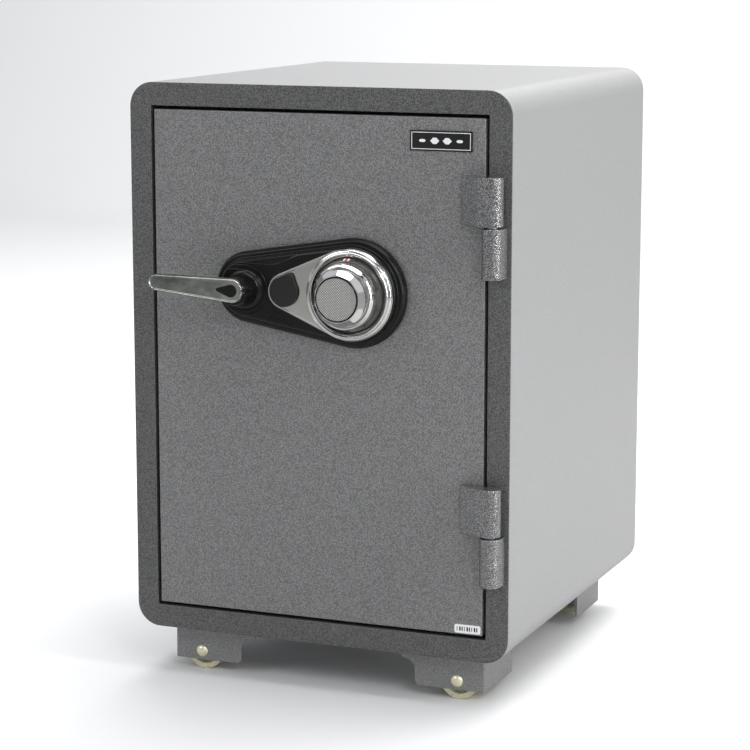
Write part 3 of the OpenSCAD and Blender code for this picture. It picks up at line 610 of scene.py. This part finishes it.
door_paint = hammer_paint("door_paint", (0.33, 0.33, 0.33), (0.15, 0.15, 0.15), 0.35, 0.4, 0.2 * mm)
skin_t = 2 * mm
low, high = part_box("door_skin")
door = block("door_front", low, high)
pick(door, "FACE", facing(1, 1))
bpy.ops.mesh.delete(type="FACE")
bpy.ops.mesh.select_all(action="SELECT")
thicken(door, skin_t)
soften(door, 1.1 * mm, 3)
complete(door, door_paint)
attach(door, "door")
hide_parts("door_skin")

for node, name, width in (("door_back_pan", "door_plug_pan", 0.5 * mm),
                          ("door_cover", "door_rear_cover", 0.4 * mm)):
    piece = copy_of(node, name)
    soften(piece, width)
    complete(piece, lining_paint)
    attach(piece, "door")
    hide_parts(node)

for node in ("door_screws", "hinge_side_bar"):
    piece = copy_of(node, node + "_eased")
    soften(piece, 0.25 * mm)
    complete(piece, bare_steel)
    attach(piece, "door")
    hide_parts(node)
paint_node("door_insulation", filling)

# ---- mechanism ----
# Inside the plug: the plate, the bolt bar with its two bolts in bushes, the crank on the handle spindle,
# and the combination lock with its three wheels, cam, fence lever and lock bolt.

bright = mottled("bright_chrome", (0.76, 0.75, 0.73), (0.66, 0.65, 0.63), 1, 0.07, 60, 0.004 * mm)
for node in ("mechanism_plate", "bolt_bushes", "guide_studs", "spindle_tubes", "lock_screws",
             "wheel_post", "handle_spindle", "handle_crank", "bolt_bar", "dial_spindle", "drive_cam",
             "lock_lever", "key_cam"):
    paint_node(node, bare_steel)
for node in ("lock_case", "lock_cover", "tumbler_1", "tumbler_2", "tumbler_3", "lock_bolt", "key_plug"):
    paint_node(node, zinc)
for node in ("locking_bolts", "key_lock_body"):
    paint_node(node, bright)

# ---- badge and label ----
# A thin black badge with a white border and a plain row of lozenges, and a small white sticker with a
# printed bar pattern, both glued to the door.

badge_black = mottled("badge_black", (0.012, 0.012, 0.012), (0.009, 0.009, 0.009), 0, 0.3, 200, 0.01 * mm)
badge_white = mottled("badge_white", (0.8, 0.8, 0.8), (0.72, 0.72, 0.72), 0, 0.4, 200, 0.01 * mm)
low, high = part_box("nameplate")
badge = block("badge_plate", low, high)
soften(badge, 0.3 * mm)
complete(badge, badge_black)
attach(badge, "door")
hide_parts("nameplate")


def made_one(pieces):
    """Joins pieces into the first of them."""
    put_down()
    for piece in pieces:
        piece.select_set(True)
    bpy.context.view_layer.objects.active = pieces[0]
    bpy.ops.object.join()
    return pieces[0]


print_t = 0.12 * mm
border_in = 1.4 * mm
border_w = 0.55 * mm
pitch = 11 * mm
border = block("badge_border", Vector((low.x + border_in, low.y - print_t, low.z + border_in)),
               Vector((high.x - border_in, low.y + print_t, high.z - border_in)))
pick(border, "FACE", lambda face: abs(face.normal.y) > 0.99)
bpy.ops.mesh.inset(thickness=border_w)
bpy.ops.mesh.bridge_edge_loops()
motifs = [border]
badge_mid = (low + high) / 2
for i in (-1.5, -0.5, 0.5, 1.5):
    centre = Vector((badge_mid.x + i * pitch, low.y, badge_mid.z))
    half = Vector((4 * mm, print_t, 2.6 * mm)) if abs(i) < 1 else Vector((3 * mm, print_t, 1.2 * mm))
    lozenge = block("lozenge", centre - half, centre + half)
    pick(lozenge, "EDGE", along(1))
    bpy.ops.mesh.bevel(offset=min(half.x, half.z) * 0.98, offset_type="OFFSET", segments=1)
    motifs.append(lozenge)
border = made_one(motifs)
complete(border, badge_white)
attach(border, "door")

sticker_x = 127 * mm
sticker_w, sticker_h = 23.5 * mm, 7.5 * mm
sticker_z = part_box("outer_shell")[0].z + 24.4 * mm
sticker = block("sticker", Vector((sticker_x, face_y - 0.2 * mm, sticker_z)),
                Vector((sticker_x + sticker_w, face_y - 0.01 * mm, sticker_z + sticker_h)))
pick(sticker, "EDGE", along(1))
bpy.ops.mesh.bevel(offset=1.6 * mm, offset_type="OFFSET", segments=5)
complete(sticker, badge_white)
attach(sticker, "door")
bars = []
bar_pitch = 2.2 * mm
bar_h = 3.6 * mm
bar_z = sticker_z + sticker_h / 2
for i in range(9):
    width = (0.6 + 0.4 * (i * 5 % 3)) * mm
    x = sticker_x + (i + 1) * bar_pitch
    bars.append(block("bar", Vector((x, face_y - 0.26 * mm, bar_z - bar_h / 2)),
                      Vector((x + width, face_y - 0.19 * mm, bar_z + bar_h / 2))))
sticker_bars = made_one(bars)
sticker_bars.name = "sticker_bars"
complete(sticker_bars, badge_black)
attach(sticker_bars, "door")

# ---- escutcheon ----
# A black moulded plate, screwed to the door from behind, that joins the handle and the dial. Its skirt
# slopes, its raised top is rounded, and shallow creases run from the handle to the dial.


def strap(name, x0, z0, r0, x1, z1, r1, y0, y1, sides=96):
    """Two round ends joined by their outside tangents, from y0 to y1, left in edit mode."""
    put_down()
    for i, (x, z, r) in enumerate(((x0, z0, r0), (x1, z1, r1))):
        bpy.ops.mesh.primitive_cylinder_add(vertices=sides, radius=r, depth=y1 - y0,
                                            location=(x, (y0 + y1) / 2, z), rotation=(pi / 2, 0, 0))
        if i == 0:
            piece = bpy.context.object
            piece.name = name
            bpy.ops.object.transform_apply()
            bpy.ops.object.mode_set(mode="EDIT")
    bpy.ops.mesh.select_all(action="SELECT")
    bpy.ops.mesh.convex_hull()
    bpy.ops.mesh.select_all(action="SELECT")
    bpy.ops.mesh.dissolve_limited(angle_limit=radians(0.4))
    return piece


def cut_away(piece, cutter, operation="DIFFERENCE"):
    """Takes the cutter's shape out of the piece, or keeps only what lies inside it."""
    put_down()
    bpy.context.view_layer.objects.active = piece
    cut = piece.modifiers.new("cut", "BOOLEAN")
    cut.operation = operation
    cut.solver = "EXACT"
    cut.object = cutter
    bpy.ops.object.modifier_apply(modifier=cut.name)
    bpy.data.objects.remove(cutter)


def tube(name, points, radius):
    """A round bar along points, used to cut a groove."""
    curve = bpy.data.curves.new(name, "CURVE")
    curve.dimensions = "3D"
    curve.bevel_depth = radius
    curve.bevel_resolution = 2
    curve.use_fill_caps = True
    line = curve.splines.new("POLY")
    line.points.add(len(points) - 1)
    for point, place in zip(line.points, points):
        point.co = (*place, 1)
    bar = bpy.data.objects.new(name, curve)
    bpy.context.scene.collection.objects.link(bar)
    put_down()
    bar.select_set(True)
    bpy.context.view_layer.objects.active = bar
    bpy.ops.object.convert(target="MESH")
    return bpy.context.object


def bore(x, z, y0, y1, radius):
    """A round plug along y, used to cut a hole."""
    put_down()
    bpy.ops.mesh.primitive_cylinder_add(vertices=64, radius=radius, depth=y1 - y0,
                                        location=(x, (y0 + y1) / 2, z), rotation=(pi / 2, 0, 0))
    bpy.ops.object.transform_apply()
    return bpy.context.object


black_plastic = mottled("black_gloss", (0.007, 0.007, 0.007), (0.005, 0.005, 0.005), 0, 0.24, 420,
                        0.02 * mm, Specular_IOR_Level=0.3)
bezel_low, bezel_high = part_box("dial_bezel")
dial_x = (bezel_low.x + bezel_high.x) / 2
lock_z = (bezel_low.z + bezel_high.z) / 2
hub_low, hub_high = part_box("handle_hub")
handle_x = (hub_low.x + hub_high.x) / 2
key_low, key_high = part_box("key_lock_body")
key_x = (key_low.x + key_high.x) / 2
key_r = (key_high.x - key_low.x) / 2
low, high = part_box("escutcheon")
big_r = (high.z - low.z) / 2
small_r = 31 * mm
top_y = low.y
skirt_h = 4.6 * mm
slope_h = 3.4 * mm
step_h = 4.9 * mm
plate = strap("escutcheon_plate", low.x + small_r, lock_z + 0.5 * mm, small_r, dial_x, lock_z, big_r,
              face_y - skirt_h, high.y)
pick(plate, "FACE", facing(1, -1))
bpy.ops.mesh.inset(thickness=2.2 * mm, depth=slope_h)
bpy.ops.mesh.inset(thickness=3.6 * mm)
bpy.ops.mesh.inset(thickness=0.7 * mm, depth=step_h)
bpy.ops.mesh.inset(thickness=1.6 * mm, depth=face_y - skirt_h - slope_h - step_h - top_y)
soften(plate, 0.9 * mm, 3, 20)
complete(plate, black_plastic)


crease_r = 0.75 * mm
crease_y = top_y - 0.25 * mm
crease_x = -34


def crease(points):
    """A cutter along (x, z) points in millimetres from the handle's axis."""
    places = [(handle_x + x * mm, crease_y, lock_z + z * mm) for x, z in points]
    return tube("crease", places, crease_r)


for side in (1, -1):
    cut_away(plate, crease([(crease_x, side * 23.4), (24, side * 22.6), (28, side * 23), (32, side * 24.3),
                            (75, side * 42.8)]))
round_steps = 24
for reach in (17.2, 21.1):
    half_turn = [(reach * sin(a * pi / round_steps), reach * cos(a * pi / round_steps))
                 for a in range(round_steps + 1)]
    cut_away(plate, crease([(crease_x, reach)] + half_turn + [(crease_x, -reach)]))
cut_away(plate, bore(key_x, lock_z, top_y - 1 * mm, face_y + 1 * mm, key_r))
complete(plate, black_plastic)
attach(plate, "door")
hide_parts("escutcheon")

# ---- trim plate and key lock ----
# A chromed pressing round the dial that narrows to the key lock. A black flap hangs on a rivet over the
# keyhole and swings aside.

low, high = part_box("trim_plate")
trim_chrome = mottled("trim_chrome", (0.82, 0.81, 0.76), (0.66, 0.65, 0.6), 1, 0.14, 35, 0.02 * mm)
trim_r = (high.z - low.z) / 2
trim_end_r = key_x - low.x
trim = strap("trim_face", dial_x, lock_z, trim_r, key_x, lock_z, trim_end_r, low.y + 0.5 * mm, high.y)
pick(trim, "FACE", facing(1, -1))
bpy.ops.mesh.inset(thickness=0.5 * mm, depth=0.5 * mm)
bpy.ops.mesh.inset(thickness=1.1 * mm)
bpy.ops.mesh.inset(thickness=0.4 * mm, depth=-0.3 * mm)
cut_away(trim, bore(key_x, lock_z, low.y - 1 * mm, high.y + 1 * mm, key_r))
complete(trim, trim_chrome, 20)
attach(trim, "door")
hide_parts("trim_plate")

flap_black = mottled("flap_black", (0.01, 0.01, 0.01), (0.007, 0.007, 0.007), 0, 0.42, 600, 0.04 * mm)
flap = copy_of("key_cover", "keyhole_flap")
bpy.ops.mesh.select_all(action="SELECT")
bpy.ops.mesh.convex_hull()
bpy.ops.mesh.select_all(action="SELECT")
bpy.ops.mesh.dissolve_limited(angle_limit=radians(0.5))
soften(flap, 0.45 * mm, 3)
complete(flap, flap_black)
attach(flap, "key_flap")
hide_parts("key_cover")

low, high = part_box("cover_rivet")
rivet_x, rivet_z = (low.x + high.x) / 2, (low.z + high.z) / 2
head_y = low.y + 0.6 * mm
flap_shank_r = 1.5 * mm
flap_rivet = turn("flap_rivet", rivet_x, rivet_z, [
    (0, low.y), (1.2 * mm, low.y + 0.05 * mm), (2.2 * mm, low.y + 0.25 * mm), (2.7 * mm, head_y),
    (flap_shank_r, head_y), (flap_shank_r, high.y), (0, high.y)], steps=32)
complete(flap_rivet, flap_black)
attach(flap_rivet, "door")
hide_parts("cover_rivet")

# ---- dial bezel ----
# A chromed ring turned in steps and polished, pressed over the trim plate round the dial.

chrome = mottled("polished_chrome", (0.86, 0.85, 0.83), (0.8, 0.79, 0.77), 1, 0.05, 25, 0.003 * mm)
outer_r = (bezel_high.x - bezel_low.x) / 2
inner_r = 33 * mm
b0, b1 = bezel_low.y, bezel_high.y
bezel = turn("bezel_ring", dial_x, lock_z, [
    (outer_r, b1), (outer_r, b1 - 0.8 * mm), (outer_r - 0.4 * mm, b1 - 1.6 * mm),
    (outer_r - 1.2 * mm, b1 - 2.3 * mm), (outer_r - 2.0 * mm, b1 - 2.5 * mm),
    (outer_r - 2.2 * mm, b1 - 3.1 * mm), (outer_r - 2.7 * mm, b0 + 0.2 * mm), (outer_r - 3.4 * mm, b0),
    (outer_r - 4.2 * mm, b0 + 0.15 * mm), (outer_r - 4.6 * mm, b0 + 0.6 * mm),
    (outer_r - 5.2 * mm, b0 + 0.8 * mm), (inner_r, b0 + 1.4 * mm), (inner_r, b1)], steps=128, closed=True)
soften(bezel, 0.2 * mm, 2, 25)
complete(bezel, chrome, 24)
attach(bezel, "door")
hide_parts("dial_bezel")

# ---- dial ring with its marks ----
# The turning ring, a satin grey cone stepped at both edges, its grey painted darker than its silver as
# painted shade of the recess between bezel and knob. A hundred division marks and the tens are printed on it
# in black, and a red line on white marks zero.

low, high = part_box("dial_ring")
ring_r = (high.x - low.x) / 2
ring_top_r = 27.5 * mm
# Painted shade: the ring's silver-grey is painted dark for the recess it sits in.
shaded_ring_grey = mottled("dial_grey_painted_shade", (0.24, 0.24, 0.23), (0.13, 0.13, 0.12), 0.9, 0.22, 150, 0.02 * mm)
y_in, y_out = high.y, low.y
cone_0 = (ring_r - 0.9 * mm, y_in - 2.6 * mm)
cone_1 = (ring_top_r + 0.9 * mm, y_out + 1.7 * mm)
ring = turn("dial_cone", dial_x, lock_z, [
    (0, y_in), (ring_r, y_in), (ring_r, y_in - 1.4 * mm), (ring_r - 0.5 * mm, y_in - 2.0 * mm),
    cone_0, cone_1,
    (ring_top_r + 0.5 * mm, y_out + 1.5 * mm), (ring_top_r - 1.2 * mm, y_out + 0.9 * mm),
    (ring_top_r - 1.8 * mm, y_out), (0, y_out)], steps=128)
soften(ring, 0.15 * mm, 2, 20)
complete(ring, shaded_ring_grey, 20)
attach(ring, "dial")
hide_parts("dial_ring")

cone_lean = Vector((cone_1[0] - cone_0[0], cone_1[1] - cone_0[1], 0))
mark_ink = mottled("mark_ink", (0.02, 0.02, 0.02), (0.012, 0.012, 0.012), 0, 0.5, 300, 0.01 * mm)


def on_cone(share, lift=0.0):
    """The radius and y of a point up the cone, a share of the way from its wide edge."""
    out = Vector((-cone_lean.y, cone_lean.x, 0)).normalized()
    return (cone_0[0] + share * cone_lean.x + lift * out.x, cone_0[1] + share * cone_lean.y + lift * out.y)


def mark(name, share_0, share_1, width, lift):
    """A thin bar at the top of the dial that lies on the cone between two shares of its slope."""
    piece = block(name, Vector((dial_x - width / 2, -0.5, lock_z)),
                  Vector((dial_x + width / 2, 0.5, lock_z + 1)))
    mesh = bmesh.from_edit_mesh(piece.data)
    for v in mesh.verts:
        outside = v.co.z > lock_z + 0.5
        r, y = on_cone(share_0 if outside else share_1, lift if v.co.y < 0 else -0.1 * mm)
        v.co.y = y
        v.co.z = lock_z + r
    bmesh.update_edit_mesh(piece.data)
    return piece


marks = []
ink_t = 0.06 * mm
for count, share, width in ((100, 0.3, 0.28 * mm), (20, 0.45, 0.36 * mm), (10, 0.52, 0.5 * mm)):
    tick = mark("division", 0.02, share, width, ink_t)
    bpy.ops.mesh.select_all(action="SELECT")
    bpy.ops.mesh.spin(steps=count, dupli=True, angle=2 * pi, center=(dial_x, 0, lock_z), axis=(0, 1, 0))
    marks.append(tick)
slope = cone_lean.normalized()
for ten in range(10):
    put_down()
    bpy.ops.object.text_add()
    figure = bpy.context.object
    figure.data.body = str(ten * 10)
    figure.data.size = 3.4 * mm
    figure.data.extrude = ink_t
    figure.data.align_x = "CENTER"
    figure.data.align_y = "CENTER"
    figure.data.resolution_u = 3
    bpy.ops.object.convert(target="MESH")
    figure = bpy.context.object
    for v in figure.data.vertices:
        r, y = on_cone(0.74, v.co.z)
        r -= v.co.y * slope.x
        y -= v.co.y * slope.y
        round_by = ten * pi / 5 + v.co.x / r
        v.co = (dial_x + r * sin(round_by), y, lock_z + r * cos(round_by))
    marks.append(figure)
dial_marks = made_one(marks)
dial_marks.name = "dial_marks"
complete(dial_marks, mark_ink)
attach(dial_marks, "dial")

zero_white = mottled("zero_white", (0.85, 0.85, 0.85), (0.75, 0.75, 0.75), 0, 0.4, 200, 0.01 * mm)
zero_red = mottled("zero_red", (0.7, 0.02, 0.02), (0.55, 0.015, 0.015), 0, 0.4, 200, 0.01 * mm)
for name, width, lift, paint in (("zero_block", 5.4 * mm, 0.2 * mm, zero_white),
                                 ("zero_line", 2 * mm, 0.3 * mm, zero_red)):
    zero = mark(name, 0.1, 0.55, width, lift)
    complete(zero, paint)
    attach(zero, "dial")

# ---- knob ----
# A chromed grip: a wide flange, a cone with ten flats round its top, and a face disc knurled in diamonds
# that is set into a dark ring.

low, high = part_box("dial_knob")
knob_y0, knob_y1 = high.y, low.y
disc_low, disc_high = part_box("knob_disc")
disc_r = (disc_high.x - disc_low.x) / 2
flange_r = 27.5 * mm
neck_r = 24.2 * mm
cone_y = knob_y0 - 3 * mm
neck_y = cone_y - 3.4 * mm
overlap = 0.1 * mm
flange = turn("knob_flange", dial_x, lock_z, [
    (0, knob_y0), (flange_r - 0.6 * mm, knob_y0), (flange_r, knob_y0 - 0.5 * mm),
    (flange_r, knob_y0 - 1.5 * mm), (flange_r - 0.5 * mm, knob_y0 - 2.1 * mm),
    (flange_r - 1.2 * mm, knob_y0 - 2.3 * mm), (flange_r - 1.7 * mm, cone_y),
    (25.2 * mm, cone_y - 0.6 * mm), (neck_r, neck_y - overlap), (0, neck_y - overlap)], steps=128)
complete(flange, chrome, 24)

grip = turn("knob_grip", dial_x, lock_z, [
    (0, neck_y), (neck_r, neck_y), (23.9 * mm, cone_y - 8 * mm), (23.4 * mm, knob_y1 + 0.6 * mm),
    (22.8 * mm, knob_y1), (0, knob_y1)], steps=128)
put_down()
knob_h = knob_y0 - knob_y1
flats = 10
flats_r = 20.6 * mm
flats_lean = 0.9
bpy.ops.mesh.primitive_cone_add(vertices=flats, radius1=flats_r + flats_lean * knob_h, radius2=flats_r,
                                depth=knob_h, location=(dial_x, (knob_y0 + knob_y1) / 2, lock_z),
                                rotation=(pi / 2, 0, 0))
bpy.ops.object.transform_apply()
cut_away(grip, bpy.context.object, "INTERSECT")
cut_away(grip, bore(dial_x, lock_z, knob_y1 - 2 * mm, knob_y1 + 1.2 * mm, disc_r + 0.8 * mm))
soften(grip, 0.25 * mm, 2, 14)
complete(grip, chrome, 12)
grip = made_one([grip, flange])
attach(grip, "dial")
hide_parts("dial_knob")

seat_y = knob_y1 + 1.1 * mm
disc_ring = turn("knob_disc_ring", dial_x, lock_z, [
    (disc_r + 0.7 * mm, seat_y), (disc_r + 0.7 * mm, knob_y1 - 0.3 * mm),
    (disc_r + 0.1 * mm, knob_y1 - 0.7 * mm), (disc_r - 0.6 * mm, knob_y1 - 0.7 * mm),
    (disc_r - 0.7 * mm, seat_y)], steps=96, closed=True)
complete(disc_ring, black_plastic)
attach(disc_ring, "dial")

knurl = 1.55 * mm
knurls_across = 25
disc_middle = Vector((dial_x, knob_y1 - 0.35 * mm, lock_z))
put_down()
bpy.ops.mesh.primitive_grid_add(x_subdivisions=knurls_across, y_subdivisions=knurls_across,
                                size=knurls_across * knurl, location=disc_middle,
                                rotation=(pi / 2, pi / 4, 0))
disc = bpy.context.object
disc.name = "knob_face"
bpy.ops.object.transform_apply()
bpy.ops.object.mode_set(mode="EDIT")
pick(disc, "FACE", lambda face: (face.calc_center_median() - disc_middle).length > disc_r - 0.2 * mm)
bpy.ops.mesh.delete(type="FACE")
bpy.ops.mesh.select_all(action="SELECT")
bpy.ops.mesh.normals_make_consistent(inside=False)
pick(disc, "FACE", facing(1, 1))
bpy.ops.mesh.flip_normals()
pick(disc, "FACE", facing(1, -1))
bpy.ops.mesh.inset(thickness=0.22 * mm, use_individual=True)
bpy.ops.mesh.inset(thickness=0.25 * mm, depth=0.32 * mm, use_individual=True)
disc_metal = mottled("disc_metal", (0.7, 0.69, 0.66), (0.6, 0.59, 0.56), 0.7, 0.36, 300, 0.02 * mm)
# Painted shade: the knurl's colour darkens with depth, so its grooves are dark.
place = add_node(disc_metal, "ShaderNodeSeparateXYZ")
join(disc_metal, object_place(disc_metal), place.inputs["Vector"])
groove_shade = add_node(disc_metal, "ShaderNodeMapRange",
                 From_Min=knob_y1 - 0.42 * mm, From_Max=knob_y1 - 0.62 * mm)
join(disc_metal, place.outputs["Y"], groove_shade.inputs["Value"])
join(disc_metal, shades(disc_metal, groove_shade.outputs["Result"], (0, (0.3, 0.3, 0.28)), (1, (0.92, 0.91, 0.88))),
     shader_input(disc_metal, "Base Color"))
complete(disc, disc_metal, 10)
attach(disc, "dial")
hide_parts("knob_disc")

# ---- handle ----
# A black stepped hub on the handle's spindle and, screwed to it, a cast and chromed lever with a raised
# rim, a hollowed face and a black drop-shaped inlay.

hub_y0, hub_y1 = hub_high.y, hub_low.y
hub_big_r = (hub_high.x - hub_low.x) / 2
hub = turn("lever_hub", handle_x, lock_z, [
    (0, hub_y0), (hub_big_r, hub_y0), (hub_big_r, hub_y0 - 1.8 * mm),
    (hub_big_r - 0.9 * mm, hub_y0 - 2.8 * mm), (hub_big_r - 2.4 * mm, hub_y0 - 3.4 * mm),
    (hub_big_r - 3.2 * mm, hub_y0 - 4.6 * mm),
    (13 * mm, hub_y0 - 9 * mm), (12.6 * mm, hub_y0 - 17 * mm), (11.6 * mm, hub_y0 - 22 * mm),
    (10.6 * mm, hub_y1), (0, hub_y1)], steps=96)
soften(hub, 0.3 * mm, 2, 20)
complete(hub, black_plastic, 24)
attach(hub, "handle")
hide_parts("handle_hub")

low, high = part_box("handle_lever")
lever_r0, lever_r1 = 10.5 * mm, 7.2 * mm
lever_z0, lever_z1 = lock_z + 2.3 * mm, lock_z + 6.1 * mm
# Partly painted reflection: the chrome's dark patches are a painted dark reflection, and its broad bumps
# make the real reflections wavy.
lever_chrome = mottled("lever_chrome", (0.56, 0.57, 0.53), (0.2, 0.21, 0.19), 1, 0.06, 28, 0.5 * mm)
crown_low, crown_high = 1.3 * mm, 0.9 * mm
back_d = 1.6 * mm
lever = strap("lever_arm", high.x - lever_r0, lever_z0, lever_r0, low.x + lever_r1, lever_z1,
              lever_r1, low.y + crown_low + crown_high, high.y - back_d)
pick(lever, "FACE", facing(1, 1))
bpy.ops.mesh.inset(thickness=2.4 * mm, depth=back_d)
pick(lever, "FACE", facing(1, -1))
bpy.ops.mesh.inset(thickness=0.35 * mm, depth=crown_low)
bpy.ops.mesh.inset(thickness=0.55 * mm, depth=crown_high)
bpy.ops.mesh.inset(thickness=0.6 * mm)
bpy.ops.mesh.inset(thickness=0.5 * mm, depth=-crown_high)
soften(lever, 0.35 * mm, 3, 24)
complete(lever, lever_chrome, 28)
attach(lever, "handle")
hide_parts("handle_lever")

low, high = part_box("handle_inset")
drop_r0, drop_r1 = 5.5 * mm, 1.6 * mm
drop = strap("lever_inlay", high.x - drop_r0, lever_z0, drop_r0, low.x + drop_r1, lever_z0 + 0.6 * mm,
             drop_r1, low.y, high.y)
soften(drop, 0.2 * mm)
complete(drop, black_plastic)
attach(drop, "handle")
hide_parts("handle_inset")

low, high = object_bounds()
